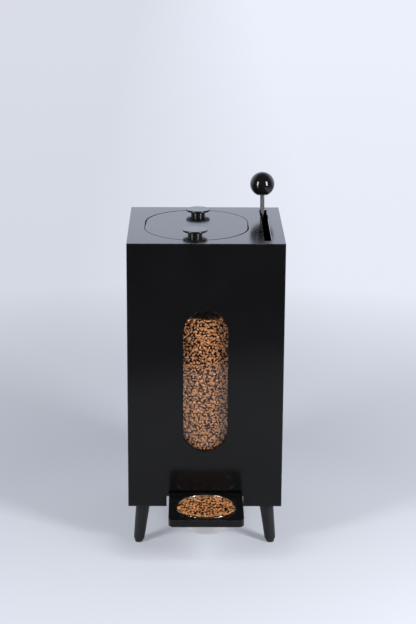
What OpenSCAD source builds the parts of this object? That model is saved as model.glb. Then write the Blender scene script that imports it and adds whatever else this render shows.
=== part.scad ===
// Lever-operated pet food cabinet on four splayed legs: a hopper behind a stadium window,
// a flush lid, a lever that draws the outlet gate back, and a sliding tray with a lift-out bowl.
// Millimetres. +Z is up, the front faces -Y, and the origin lies on the floor under the middle
// of the whole object with its tray pulled out.

/* [Cabinet] */
// Outer width of the cabinet
body_w = 376; // [350:1:420]
// Outer depth of the cabinet
body_d = 375; // [360:1:420]
// Height of the cabinet from its bottom edge to its top
body_h = 666; // [600:1:740]
// Thickness of the outer panels
panel_t = 18; // [15:0.5:20]
// Radius of the cabinet's outer edges
edge_r = 1; // [0.5:0.25:4]

/* [Legs] */
// Height of the cabinet's bottom edge above the floor
leg_h = 103; // [80:1:140]
// Leg diameter at the top
leg_top_d = 35; // [26:1:36]
// Leg diameter above the tapered tip
leg_foot_d = 26.5; // [18:0.5:30]
// Leg diameter at the floor
leg_tip_d = 19; // [12:1:22]
// Length of the tapered tip
leg_tip_l = 8; // [6:1:20]
// Outward lean of a leg, sideways and to the front or back
leg_splay = 6.5; // [3:0.5:9]
// Distance of a leg's top centre from the cabinet's outer faces
leg_inset = 36; // [36:1:45]
// Thickness of the pad under each leg
pad_t = 2; // [1:0.5:4]
// Diameter of the bolt that holds each leg
bolt_d = 8; // [6:1:10]
// Length of the bolt inside the leg
bolt_grip = 24; // [16:1:32]

/* [Window] */
// Width of the window opening
window_w = 107; // [80:1:130]
// Height of the window opening
window_h = 357; // [260:1:400]
// Height of the window's lower end above the cabinet's bottom edge
window_z = 144; // [130:1:170]
// Bevel round the window's front edge
window_bevel = 1.2; // [0.4:0.1:2.5]
// Thickness of the clear pane
pane_t = 3; // [2:0.5:5]
// Width of the pane's margin behind the panel
pane_lap = 14; // [11:1:20]

/* [Lid] */
// Top panel between the hopper's left wall and the lid opening
lid_rim_left = 21; // [10:0.5:30]
// Top panel between the lever chamber and the lid opening
lid_rim_right = 7; // [7:0.5:20]
// Top panel between the front or back panel and the lid opening
lid_rim_ends = 14.5; // [8:0.5:26]
// Gap round the lid
lid_gap = 2; // [1.5:0.1:4]
// Angle by which the lid is put down askew, clockwise from above
lid_turn = 2.2; // [0:0.1:2.5]
// Bevel round the lid and round its opening
lid_bevel = 0.8; // [0.4:0.1:1.5]
// Thickness of the ledge ring under the top panel
ledge_t = 9; // [6:0.5:12]
// Width of the ledge ring that shows inside the opening
ledge_in = 12; // [9:0.5:16]
// Width of the ledge ring bonded under the top panel
ledge_lap = 6; // [4:0.5:6.5]
// Thickness of the sealing ring on the ledge
gasket_t = 2; // [1:0.25:4]
// Distance of each lid knob's centre from the lid's end
knob_end = 48; // [36:1:70]
// Diameter of a lid knob's cap
knob_cap_d = 60; // [40:1:66]
// Thickness of a lid knob's cap
knob_cap_h = 5; // [4.5:0.5:9]
// Diameter of a lid knob's stem
knob_stem_d = 35; // [20:1:38]
// Height of a lid knob's stem
knob_stem_h = 10; // [4:0.5:12]

/* [Lever] */
// Distance of the lever chamber's middle from the cabinet's right face
lever_inset = 41; // [38:0.5:46]
// Distance by which the lever stands to the left of its chamber's middle
lever_shift = 2.5; // [0:0.25:2.5]
// Length of the drive arm from the lever's pivot to the drive pin
drive_l = 125; // [100:1:150]
// Swing of the lever from its resting place to the slot's rear end
lever_back = 1.7; // [1:0.1:6]
// Diameter of the lever rod
rod_d = 10.5; // [10:0.5:11]
// Width of the lever's slot in the top panel
slot_w = 16.5; // [16.5:0.5:20]
// Bevel along the slot's two long edges
slot_bevel = 1.6; // [0.5:0.1:2.5]
// Top panel between the front or back panel and the slot's ends
slot_rim = 11.5; // [6:0.5:30]
// Diameter of the ball on the lever
ball_d = 61.5; // [44:0.5:64]
// Height of the ball's centre above the cabinet's top
ball_rise = 68; // [50:1:90]
// Diameter of the pivot shaft
shaft_d = 10; // [8:0.5:11]
// Diameter of the lever's hub
hub_d = 26; // [25:0.5:30]
// Length of the lever's hub along the shaft
hub_l = 24; // [20:1:28]
// Thickness of the drive arm
arm_t = 6; // [4:0.5:7]
// Width of the drive arm
arm_w = 16; // [14:0.5:20]
// Diameter of the drive pin
pin_d = 8; // [6:0.5:9]

/* [Outlet] */
// Width of the outlet throat
throat_w = 76; // [60:1:90]
// Length of the outlet throat from front to back
throat_l = 62; // [50:1:66]
// Drop from the window's lower end to the outlet shelf
sill_drop = 30; // [26:1:36]
// Thickness of the outlet shelf
shelf_t = 12; // [9:0.5:15]
// Thickness of the gate plate
gate_t = 3; // [2:0.5:4]
// Width by which the gate laps each side of the throat
gate_lap = 8; // [5:0.5:12]
// Width of each gate guide
guide_w = 14; // [10:0.5:18]
// Thickness of the funnel boards
funnel_t = 9; // [8:0.5:12]
// Slope of the left funnel board
slope_left = 42; // [35:1:45]
// Slope of the right funnel board
slope_right = 45; // [38:1:46]
// Slope of the back funnel board
slope_back = 38; // [32:1:45]
// Thickness of the divider beside the lever chamber
divider_t = 12; // [9:0.5:15]

/* [Tray] */
// Width of the tray
tray_w = 180; // [165:1:190]
// Thickness of the tray
tray_t = 18; // [14:0.5:20]
// Height of the tray's underside above the cabinet's bottom edge
tray_z = 14; // [12:0.5:20]
// Radius of the tray's corners seen from above
tray_corner_r = 14; // [6:0.5:24]
// Bevel along the tray's edges
tray_bevel = 1; // [0.5:0.1:2]
// Distance by which the tray lies to the right of the middle
tray_shift = 2; // [0:0.25:2.5]
// Gap at each side of a centred tray in its doorway
tray_gap = 4; // [3:0.25:6]
// Height of the doorway above the tray
door_head = 10; // [8:0.5:14]
// Radius of the doorway's upper corners
door_r = 14; // [6:0.5:20]
// Distance of the rails behind the front face
rail_setback = 50; // [44:1:110]
// Depth of the rail groove over the tray's edge
rail_grip = 10; // [6:0.5:12]

/* [Bowl] */
// Diameter of the bowl's rim
bowl_d = 147; // [130:1:150]
// Height of the bowl from its base to the top of its rim
bowl_h = 52; // [40:1:58]
// Diameter of the bowl's base
bowl_foot_d = 116; // [80:1:120]
// Thickness of the bowl's wall
bowl_wall = 1; // [0.8:0.1:2]
// Thickness of the bowl's flat rim
rim_h = 1.25; // [1:0.25:5]
// Width by which the rim rests on the tray
rim_lap = 4; // [3:0.25:8]
// Radius between the bowl's base and its wall
bowl_corner_r = 10; // [6:0.5:18]

/* [Hidden] */
$fn = 72;

lacquer = "#17181a";
inner_board = "#2a2622";
steel = "#c3c6c9";
moulded = "#0c0c0d";
seal_rubber = "#303133";
clear_sheet = [0.85, 0.9, 0.92, 0.3];

// Clearances and the overshoot of a cut past the face it opens
fit_gap = 0.05;
hole_gap = 0.1;
slide_gap = 0.3;
over = 1;

// The bowl stands clear of the cabinet's face with the tray pulled out
bowl_front_gap = 11.5;
bowl_back_gap = 1.5;
bowl_wall_gap = 1;
tray_out = bowl_front_gap + bowl_d + bowl_back_gap;

// Outer faces
front_y = (tray_out - body_d) / 2;
back_y = front_y + body_d;
mid_y = front_y + body_d / 2;
base_z = leg_h;
top_z = base_z + body_h;
mid_z = base_z + body_h / 2;

// Inner faces
in_x = body_w / 2 - panel_t;
in_y0 = front_y + panel_t;
in_y1 = back_y - panel_t;
under_z = top_z - panel_t;

// Lever chamber between the divider and the right panel
chamber_x = body_w / 2 - lever_inset;
chamber_half = in_x - chamber_x;
divider_x1 = chamber_x - chamber_half;
divider_x0 = divider_x1 - divider_t;
lever_x = chamber_x - lever_shift;

// Window and pane
window_straight = window_h - window_w;
window_mid_z = base_z + window_z + window_h / 2;
pane_w = window_w + 2 * pane_lap;
pane_screw_d = 3;
pane_screw_l = 8;
pane_screw_x = window_w / 2 + pane_lap / 2;
pane_screw_rows = 3;

// Lid opening: stadiums that share their two end centres
open_x0 = -in_x + lid_rim_left;
open_x1 = divider_x0 - lid_rim_right;
open_w = open_x1 - open_x0;
open_l = in_y1 - in_y0 - 2 * lid_rim_ends;
open_straight = open_l - open_w;
lid_x = (open_x0 + open_x1) / 2;
lid_w = open_w - 2 * lid_gap;
lid_under_z = under_z + gasket_t;
lid_t = top_z - lid_under_z;
gasket_inset = 0.5;
gasket_margin = 2;
gasket_w = ledge_in - gasket_margin;
knob_edge_r = 2;
knob_screw_d = 5;
knob_reach = open_l / 2 - lid_gap - knob_end;
knob_screw_extra = 1.5;
knob_screw_bite = knob_stem_h + knob_screw_extra;

// Outlet shelf, gate and funnel heights
shelf_z1 = base_z + window_z - sill_drop;
shelf_z0 = shelf_z1 - shelf_t;
gate_z0 = shelf_z1 + slide_gap;
gate_z1 = gate_z0 + gate_t;
funnel_gap = 0.7;
funnel_z = gate_z1 + funnel_gap;
sill_gap = 2;
funnel_front_rise = base_z + window_z - sill_gap - funnel_z;
cleat = 18;

// Tray travel: pushed home, the bowl's rim is just behind the front panel
tray_front_y = front_y - tray_out;
bowl_x = tray_shift;
bowl_y = tray_front_y + bowl_front_gap + bowl_d / 2;
tray_travel = panel_t + bowl_back_gap - (bowl_y - bowl_d / 2 - front_y);
stop_w = 18;
stop_gap = 0.5;
stop_y = in_y1 - stop_w;
tray_l = stop_y - stop_gap - tray_travel - tray_front_y;
tray_z0 = base_z + tray_z;
tray_z1 = tray_z0 + tray_t;
bowl_hole_d = bowl_d - 2 * rim_lap;
bowl_top_r = bowl_hole_d / 2 - bowl_wall_gap;
bowl_z1 = tray_z1 + rim_h;
bowl_z0 = bowl_z1 - bowl_h;

// Doorway and rails
door_w = tray_w + 2 * tray_gap;
door_h = tray_z + tray_t + door_head;
rail_wall = 6;
rail_lip = 8;
rail_flange_w = 18;
rail_flange_t = 5;
rail_x1 = door_w / 2 + rail_wall;
rail_groove_x = tray_w / 2 + tray_shift + slide_gap;
rail_x0 = rail_groove_x - rail_grip;
rail_y0 = front_y + rail_setback;
rail_screw_d = 4;
rail_screw_l = 12;
rail_screw_rows = 3;

// Throat, under which the bowl comes to rest
throat_y0 = bowl_y + tray_travel - throat_l / 2;
throat_y1 = throat_y0 + throat_l;

// Lever: it swings as far to the front as to the rear end of its slot
pin_rise = 13;
pivot_z = shelf_z1 + pin_rise + drive_l;
lever_drop = top_z - pivot_z;
slot_half = body_d / 2 - panel_t - slot_rim;
slot_end_gap = 4.55;
lever_swing = atan((slot_half - rod_d / 2 - slot_end_gap) / lever_drop);
lever_lean = lever_swing - lever_back;
rod_l = (lever_drop + ball_rise) / cos(lever_lean);
socket_floor = 2;
rod_socket_z = shaft_d / 2 + socket_floor;
ball_flat = 0.92;
ball_socket = 20;
spigot_step = 3;
spigot_d = hub_d - 2 * spigot_step;
arm_ring_wall = 2;
arm_ring_d = hub_d + 2 * arm_ring_wall;
shaft_seat = 9;
spacer_d = 18;

// Drive from the lever to the gate
pin_play = 1;
pin_head_t = 2.5;
pin_head_step = 2;
pin_head_d = pin_d + 2 * pin_head_step;
pin_y = mid_y - drive_l * sin(lever_lean);
gate_open = drive_l * (sin(lever_lean) + sin(lever_swing));
gate_close = drive_l * (sin(lever_swing) - sin(lever_lean));

// Gate plate and yoke
gate_front_lap = 12;
gate_y0 = throat_y0 - gate_front_lap;
gate_half_w = throat_w / 2 + gate_lap;
gate_arm_half = 16;
gate_arm_end = 1;
gate_arm_x1 = lever_x + gate_arm_end;
gate_y1 = pin_y + gate_arm_half;
yoke_t = 8;
yoke_half = 14;
yoke_foot_w = 18;
yoke_foot_t = 3;
yoke_slot_gap = 1.5;
yoke_top_z = shelf_z1 + pin_rise + drive_l * (1 - cos(lever_swing)) + pin_d;
guide_x0 = gate_half_w + slide_gap;
guide_setback = 12;
guide_y0 = in_y0 + guide_setback;
hatch_gap = 2;
hatch_h = 7;

// Legs
leg_x = body_w / 2 - leg_inset;
leg_y = body_d / 2 - leg_inset;
splay_tan = tan(leg_splay);
leg_axis_l = (leg_h - pad_t) * sqrt(1 + 2 * splay_tan * splay_tan);
leg_extra = 10;
leg_sides = [[-1, -1], [1, -1], [-1, 1], [1, 1]];
bolt_head_d = 2 * bolt_d;
bolt_head_h = 0.7 * bolt_d;
pad_inset = 0.5;
pad_d = leg_tip_d - 2 * pad_inset;

// Points along an arc about [cx, cy], from angle a0 to a1
function arc(cx, cy, r, a0, a1, steps) =
    [for (i = [0 : steps]) let (a = a0 + (a1 - a0) * i / steps) [cx + r * cos(a), cy + r * sin(a)]];

// Place of step i out of count, spread evenly between two ends and never on them
function spread(lo, hi, i, count) = lo + (hi - lo) * (i + 0.5) / count;

// Box between two corners
module slab(x0, x1, y0, y1, z0, z1) {
    translate([x0, y0, z0]) cube([x1 - x0, y1 - y0, z1 - z0]);
}

// Centred rectangle with rounded corners
module round_rect(w, l, r) {
    square([w - 2 * r, l], center = true);
    square([w, l - 2 * r], center = true);
    for (sx = [-1, 1], sy = [-1, 1]) translate([sx * (w / 2 - r), sy * (l / 2 - r)]) circle(r);
}

// Stadium prism whose width runs from w0 to w1 over its height
module stadium(w0, w1, straight, h) {
    for (s = [-1, 1]) translate([0, s * straight / 2, 0]) cylinder(d1 = w0, d2 = w1, h = h);
    rotate([90, 0, 0]) linear_extrude(straight, center = true)
        polygon([[-w0 / 2, 0], [w0 / 2, 0], [w1 / 2, h], [-w1 / 2, h]]);
}

// Rounded rectangle whose outline shrinks by step on each side over its height
module rounded_step(w, l, r, step, h) {
    rotate([90, 0, 0]) linear_extrude(l - 2 * r, center = true)
        polygon([[-w / 2, 0], [w / 2, 0], [w / 2 - step, h], [step - w / 2, h]]);
    rotate([90, 0, 90]) linear_extrude(w - 2 * r, center = true)
        polygon([[-l / 2, 0], [l / 2, 0], [l / 2 - step, h], [step - l / 2, h]]);
    for (sx = [-1, 1], sy = [-1, 1])
        translate([sx * (w / 2 - r), sy * (l / 2 - r), 0]) cylinder(r1 = r, r2 = r - step, h = h);
}

// Cylinder along X
module cross_rod(d, x0, x1) {
    translate([x0, 0, 0]) rotate([0, 90, 0]) cylinder(d = d, h = x1 - x0);
}

// Round-headed screw that points down from the origin, with its head above it
module pan_screw(d, l) {
    translate([0, 0, -l]) cylinder(d = d, h = l + over / 2);
    cylinder(d = 2 * d, h = 0.65 * d);
}

// The cabinet's outer block, with every outer edge rounded
module cabinet_block() {
    intersection() {
        translate([0, mid_y, base_z - over])
            linear_extrude(body_h + 2 * over) round_rect(body_w, body_d, edge_r);
        translate([0, back_y + over, mid_z]) rotate([90, 0, 0])
            linear_extrude(body_d + 2 * over) round_rect(body_w, body_h, edge_r);
        translate([-body_w / 2 - over, mid_y, mid_z]) rotate([90, 0, 90])
            linear_extrude(body_w + 2 * over) round_rect(body_d, body_h, edge_r);
    }
}

// Window-shaped prism that runs forward from the plane y
module window_prism(w0, w1, y, h) {
    translate([0, y, window_mid_z]) rotate([90, 0, 0]) stadium(w0, w1, window_straight, h);
}

// Puts its children at each pane screw, pointing forward
module at_pane_screws() {
    straight_z0 = window_mid_z - window_straight / 2;
    for (sx = [-1, 1], i = [0 : pane_screw_rows - 1])
        translate([sx * pane_screw_x, in_y0, spread(straight_z0, straight_z0 + window_straight, i, pane_screw_rows)])
            rotate([-90, 0, 0]) children();
}

// Tray doorway, open at the bottom edge and through the panel
module doorway() {
    translate([0, in_y0 + over, base_z - over]) rotate([90, 0, 0]) linear_extrude(panel_t + 2 * over) {
        translate([-door_w / 2, 0]) square([door_w, door_h - door_r + over]);
        translate([door_r - door_w / 2, 0]) square([door_w - 2 * door_r, door_h + over]);
        for (s = [-1, 1]) translate([s * (door_w / 2 - door_r), door_h - door_r + over]) circle(door_r);
    }
}

module front_panel() {
    bevel_y = front_y + window_bevel;
    color(lacquer) difference() {
        intersection() {
            cabinet_block();
            slab(-body_w, body_w, front_y - over, in_y0, base_z - over, top_z + over);
        }
        window_prism(window_w, window_w, in_y0 + over, panel_t + 2 * over);
        window_prism(window_w, window_w + 2 * (window_bevel + over), bevel_y, window_bevel + over);
        window_prism(pane_w, pane_w, in_y0 + over, pane_t + over);
        at_pane_screws() translate([0, 0, -pane_t - pane_screw_l])
            cylinder(d = pane_screw_d + 2 * hole_gap, h = pane_t + pane_screw_l);
        doorway();
    }
}

module back_panel() {
    color(lacquer) intersection() {
        cabinet_block();
        slab(-body_w, body_w, in_y1, back_y + over, base_z - over, top_z + over);
    }
}

// Side panel between the front and back panels
module side_panel(side) {
    mirror([side < 0 ? 1 : 0, 0, 0]) intersection() {
        cabinet_block();
        slab(in_x, body_w, in_y0, in_y1, base_z - over, top_z + over);
    }
}

module left_panel() {
    color(lacquer) side_panel(-1);
}

module right_panel() {
    color(lacquer) difference() {
        side_panel(1);
        translate([0, mid_y, pivot_z]) cross_rod(shaft_d + 2 * hole_gap, in_x - over, in_x + shaft_seat + slide_gap);
    }
}

// Stadium prism over the lid opening, from height z
module lid_prism(w0, w1, z, h) {
    translate([lid_x, mid_y, z]) stadium(w0, w1, open_straight, h);
}

module top_panel() {
    color(lacquer) difference() {
        slab(-in_x, in_x, in_y0, in_y1, under_z, top_z);
        lid_prism(open_w, open_w, under_z - over, panel_t + 2 * over);
        lid_prism(open_w, open_w + 2 * (lid_bevel + over), top_z - lid_bevel, lid_bevel + over);
        slab(chamber_x - slot_w / 2, chamber_x + slot_w / 2, mid_y - slot_half, mid_y + slot_half,
            under_z - over, top_z + over);
        slot_bevels();
    }
}

// Cut that bevels the slot's two long edges
module slot_bevels() {
    flare = slot_bevel + over;
    translate([chamber_x, mid_y, top_z - slot_bevel]) rotate([90, 0, 0]) linear_extrude(2 * slot_half, center = true)
        polygon([[-slot_w / 2, 0], [slot_w / 2, 0], [slot_w / 2 + flare, flare], [-slot_w / 2 - flare, flare]]);
}

// Puts its children at a leg's top centre, for the leg at one corner
module at_leg(side) {
    translate([side[0] * leg_x, mid_y + side[1] * leg_y, base_z]) children();
}

// Board that carries the two legs of one side and that side's tray rail
module base_board(side) {
    color(inner_board) difference() {
        mirror([side < 0 ? 1 : 0, 0, 0]) slab(rail_x1, in_x, in_y0, in_y1, base_z, base_z + panel_t);
        for (end = [-1, 1]) at_leg([side, end]) translate([0, 0, -over])
            cylinder(d = bolt_d + 2 * hole_gap, h = panel_t + 2 * over);
        at_rail_screws(side) translate([0, 0, -rail_screw_l])
            cylinder(d = rail_screw_d + 2 * hole_gap, h = rail_screw_l + over);
    }
}

// Tapered leg leaning outward, cut level at the cabinet and at its pad
module leg(side) {
    tilt_y = -side[0] * leg_splay;
    tilt_x = side[1] * atan(splay_tan * cos(leg_splay));
    tip_z = leg_tip_l - leg_axis_l;
    color(moulded) difference() {
        intersection() {
            at_leg(side) rotate([tilt_x, tilt_y, 0]) rotate_extrude() polygon([
                [0, leg_extra], [leg_top_d / 2, leg_extra], [leg_top_d / 2, 0], [leg_foot_d / 2, tip_z],
                [leg_tip_d / 2, -leg_axis_l], [leg_tip_d / 2, -leg_axis_l - leg_extra],
                [0, -leg_axis_l - leg_extra]
            ]);
            slab(-body_w, body_w, -body_d, body_d, pad_t, base_z);
        }
        at_leg(side) translate([0, 0, -bolt_grip - slide_gap])
            cylinder(d = bolt_d + 2 * hole_gap, h = bolt_grip + slide_gap + over);
    }
}

module leg_bolts() {
    color(steel) for (side = leg_sides) at_leg(side) {
        translate([0, 0, -bolt_grip]) cylinder(d = bolt_d, h = bolt_grip + panel_t + over);
        translate([0, 0, panel_t]) cylinder(d = bolt_head_d, h = bolt_head_h, $fn = 6);
    }
}

module foot_pads() {
    reach = (leg_h - pad_t) * splay_tan;
    color(seal_rubber) for (side = leg_sides)
        translate([side[0] * (leg_x + reach), mid_y + side[1] * (leg_y + reach), 0]) cylinder(d = pad_d, h = pad_t);
}

module window_pane() {
    color(clear_sheet) difference() {
        window_prism(pane_w - 2 * slide_gap, pane_w - 2 * slide_gap, in_y0, pane_t);
        at_pane_screws() translate([0, 0, -pane_t - over])
            cylinder(d = pane_screw_d + 2 * hole_gap, h = pane_t + 2 * over);
    }
}

module pane_screws() {
    color(steel) at_pane_screws() pan_screw(pane_screw_d, pane_t + pane_screw_l - slide_gap);
}

module lid_ledge() {
    color(inner_board) difference() {
        lid_prism(open_w + 2 * ledge_lap, open_w + 2 * ledge_lap, under_z - ledge_t, ledge_t);
        lid_prism(open_w - 2 * ledge_in, open_w - 2 * ledge_in, under_z - ledge_t - over, ledge_t + 2 * over);
    }
}

module lid_gasket() {
    outer_w = open_w - 2 * gasket_inset;
    inner_w = outer_w - 2 * gasket_w;
    color(seal_rubber) difference() {
        lid_prism(outer_w, outer_w, under_z, gasket_t);
        lid_prism(inner_w, inner_w, under_z - over, gasket_t + 2 * over);
    }
}

// Wall between the hopper and the lever chamber, with a hatch for the gate's arm
module lever_divider() {
    color(inner_board) difference() {
        slab(divider_x0, divider_x1, in_y0, in_y1, shelf_z1, under_z);
        slab(divider_x0 - over, divider_x1 + over,
            pin_y - gate_arm_half - gate_close - hatch_gap, gate_y1 + gate_open + hatch_gap,
            shelf_z1 - over, shelf_z1 + hatch_h);
        translate([0, mid_y, pivot_z])
            cross_rod(shaft_d + 2 * hole_gap, divider_x1 - shaft_seat - slide_gap, divider_x1 + over);
    }
}

module outlet_shelf() {
    color(inner_board) difference() {
        slab(-in_x, in_x, in_y0, in_y1, shelf_z0, shelf_z1);
        slab(-throat_w / 2, throat_w / 2, throat_y0, throat_y1, shelf_z0 - over, shelf_z1 + over);
    }
}

module shelf_cleat(side) {
    color(inner_board) mirror([side < 0 ? 1 : 0, 0, 0])
        slab(in_x - cleat, in_x, in_y0, in_y1, shelf_z0 - cleat, shelf_z0);
}

// Part of the hopper over one sector of its plan, above the funnel's level lower edge
module funnel_sector(points) {
    intersection() {
        slab(-in_x, divider_x0, in_y0, in_y1, funnel_z, under_z);
        translate([0, 0, base_z]) linear_extrude(body_h) polygon(points);
    }
}

// Edge-on outline of a funnel board that rises from the throat's edge over a run
function board_outline(run, slope) = [
    [0, 0], [run, run * tan(slope)],
    [run, run * tan(slope) - funnel_t / cos(slope)], [0, -funnel_t / cos(slope)]
];

// Corner points of the throat, and the valleys between boards far up their slopes
throat_x = throat_w / 2;
reach_z = body_h;
slope_front = atan(funnel_front_rise / (throat_y0 - in_y0));
valley_left_x = -throat_x - reach_z / tan(slope_left);
valley_right_x = throat_x + reach_z / tan(slope_right);
valley_front_y = throat_y0 - reach_z / tan(slope_front);
valley_back_y = throat_y1 + reach_z / tan(slope_back);

// Side board, falling towards the throat's side edge
module funnel_side(side, slope, valley_x) {
    color(inner_board) intersection() {
        funnel_sector([
            [side * throat_x, throat_y0], [side * throat_x, throat_y1],
            [valley_x, valley_back_y], [valley_x, valley_front_y]
        ]);
        translate([side * throat_x, in_y1, funnel_z]) rotate([90, 0, 0]) mirror([side < 0 ? 1 : 0, 0, 0])
            linear_extrude(in_y1 - in_y0) polygon(board_outline(body_w, slope));
    }
}

// End board, falling towards the throat's front or back edge
module funnel_end(end, slope, throat_y, valley_y) {
    color(inner_board) intersection() {
        funnel_sector([
            [-throat_x, throat_y], [throat_x, throat_y], [valley_right_x, valley_y], [valley_left_x, valley_y]
        ]);
        translate([-in_x, throat_y, funnel_z]) mirror([0, end < 0 ? 1 : 0, 0]) rotate([90, 0, 90])
            linear_extrude(2 * in_x) polygon(board_outline(body_d, slope));
    }
}

// Strip beside the gate plate that guides it and carries a funnel board
module gate_guide(side, y1) {
    color(inner_board) mirror([side < 0 ? 1 : 0, 0, 0])
        slab(guide_x0, guide_x0 + guide_w, guide_y0, y1, shelf_z1, funnel_z);
}

// Grooved rail with a flange on the base board
module tray_rail(side) {
    low_z = tray_z0 - slide_gap - rail_lip;
    high_z = tray_z1 + slide_gap + rail_lip;
    flange_z = base_z + panel_t;
    color(inner_board) difference() {
        mirror([side < 0 ? 1 : 0, 0, 0]) translate([0, stop_y, 0]) rotate([90, 0, 0])
            linear_extrude(stop_y - rail_y0) polygon([
                [rail_x0, low_z], [rail_x1, low_z], [rail_x1, flange_z], [rail_x1 + rail_flange_w, flange_z],
                [rail_x1 + rail_flange_w, flange_z + rail_flange_t], [rail_x1, flange_z + rail_flange_t],
                [rail_x1, high_z], [rail_x0, high_z], [rail_x0, tray_z1 + slide_gap],
                [rail_groove_x, tray_z1 + slide_gap], [rail_groove_x, tray_z0 - slide_gap],
                [rail_x0, tray_z0 - slide_gap]
            ]);
        at_rail_screws(side) translate([0, 0, -over])
            cylinder(d = rail_screw_d + 2 * hole_gap, h = rail_flange_t + 2 * over);
    }
}

// Puts its children on the base board under each screw of one rail
module at_rail_screws(side) {
    for (i = [0 : rail_screw_rows - 1])
        translate([side * (rail_x1 + rail_flange_w / 2), spread(rail_y0, stop_y, i, rail_screw_rows), base_z + panel_t])
            children();
}

module rail_screws() {
    color(steel) for (side = [-1, 1]) at_rail_screws(side)
        translate([0, 0, rail_flange_t]) pan_screw(rail_screw_d, rail_flange_t + rail_screw_l - slide_gap);
}

module tray_stop() {
    color(inner_board) slab(-rail_x1, rail_x1, stop_y, in_y1, base_z, tray_z1);
}

module pivot_shaft() {
    color(steel) translate([0, mid_y, pivot_z]) cross_rod(shaft_d, divider_x1 - shaft_seat, in_x + shaft_seat);
}

// Sleeves that keep the hub in its place between the chamber's walls
module shaft_spacers() {
    color(steel) for (side = [-1, 1]) translate([lever_x, mid_y, pivot_z]) mirror([side < 0 ? 1 : 0, 0, 0])
        difference() {
            cross_rod(spacer_d, hub_l / 2 + slide_gap, chamber_half + side * lever_shift);
            cross_rod(shaft_d + 2 * hole_gap, 0, chamber_half + side * lever_shift + over);
        }
}

// Lever's own frame: the pivot at the origin and the rod along +Z
module lever_frame() {
    translate([lever_x, mid_y, pivot_z]) rotate([-lever_lean, 0, 0]) children();
}

// Turned hub with a spigot for the drive arm and a socket for the rod
module lever_hub() {
    color(steel) lever_frame() difference() {
        union() {
            cross_rod(hub_d, -hub_l / 2, hub_l / 2 - arm_t);
            cross_rod(spigot_d, -hub_l / 2, hub_l / 2);
        }
        cross_rod(shaft_d + 2 * fit_gap, -hub_l, hub_l);
        translate([0, 0, rod_socket_z]) cylinder(d = rod_d + 2 * hole_gap, h = hub_d);
    }
}

module lever_rod() {
    rod_top = rod_l - ball_flat * ball_d / 2 + ball_socket;
    color(steel) lever_frame() translate([0, 0, rod_socket_z]) cylinder(d = rod_d, h = rod_top - rod_socket_z);
}

module ball_knob() {
    flat_z = -ball_flat * ball_d / 2;
    color(moulded) lever_frame() translate([0, 0, rod_l]) difference() {
        sphere(d = ball_d);
        slab(-ball_d, ball_d, -ball_d, ball_d, -ball_d, flat_z);
        translate([0, 0, flat_z - over]) cylinder(d = rod_d + 2 * hole_gap, h = ball_socket + slide_gap + over);
    }
}

// Flat arm with an eye on the hub's spigot and an eye for the drive pin
module drive_arm() {
    color(steel) lever_frame() difference() {
        union() {
            cross_rod(arm_ring_d, hub_l / 2 - arm_t, hub_l / 2);
            cross_arm_bar();
            translate([0, 0, -drive_l]) cross_rod(arm_w, hub_l / 2 - arm_t, hub_l / 2);
        }
        cross_rod(spigot_d + 2 * hole_gap, -hub_l, hub_l);
        translate([0, 0, -drive_l]) cross_rod(pin_d + 2 * hole_gap, -hub_l, hub_l);
    }
}

module cross_arm_bar() {
    slab(hub_l / 2 - arm_t, hub_l / 2, -arm_w / 2, arm_w / 2, -drive_l, 0);
}

// Pin from the drive arm across the gate's yoke
module drive_pin() {
    color(steel) lever_frame() translate([0, 0, -drive_l]) {
        cross_rod(pin_d, -yoke_t - pin_head_t, hub_l / 2 + over);
        cross_rod(pin_head_d, hub_l / 2, hub_l / 2 + pin_head_t);
    }
}

// Sliding plate that closes the throat, with an arm into the lever chamber
module gate_plate() {
    color(steel) union() {
        slab(-gate_half_w, gate_half_w, gate_y0, gate_y1, gate_z0, gate_z1);
        slab(0, gate_arm_x1, pin_y - gate_arm_half, gate_y1, gate_z0, gate_z1);
    }
}

// Fork on the gate's arm, open at the top, that the drive pin pushes
module gate_yoke() {
    slot_half_w = pin_d / 2 + pin_play;
    slot_z = shelf_z1 + pin_rise - pin_d / 2 - yoke_slot_gap;
    color(steel) difference() {
        union() {
            slab(lever_x - yoke_t, lever_x, pin_y - yoke_half, pin_y + yoke_half, gate_z1, yoke_top_z);
            slab(lever_x - yoke_foot_w, lever_x, pin_y - yoke_half, pin_y + yoke_half,
                gate_z1, gate_z1 + yoke_foot_t);
        }
        slab(lever_x - yoke_t - over, lever_x + over, pin_y - slot_half_w, pin_y + slot_half_w,
            slot_z, yoke_top_z + over);
    }
}

// Board with bevelled edges and round corners, and a hole for the bowl
module tray_board() {
    color(lacquer) difference() {
        translate([tray_shift, tray_front_y + tray_l / 2, tray_z0]) {
            translate([0, 0, tray_bevel]) linear_extrude(tray_t - 2 * tray_bevel)
                round_rect(tray_w, tray_l, tray_corner_r);
            translate([0, 0, tray_t - tray_bevel])
                rounded_step(tray_w, tray_l, tray_corner_r, tray_bevel, tray_bevel);
            translate([0, 0, tray_bevel]) mirror([0, 0, 1])
                rounded_step(tray_w, tray_l, tray_corner_r, tray_bevel, tray_bevel);
        }
        translate([bowl_x, bowl_y, tray_z0 - over]) cylinder(d = bowl_hole_d, h = tray_t + 2 * over);
    }
}

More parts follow.
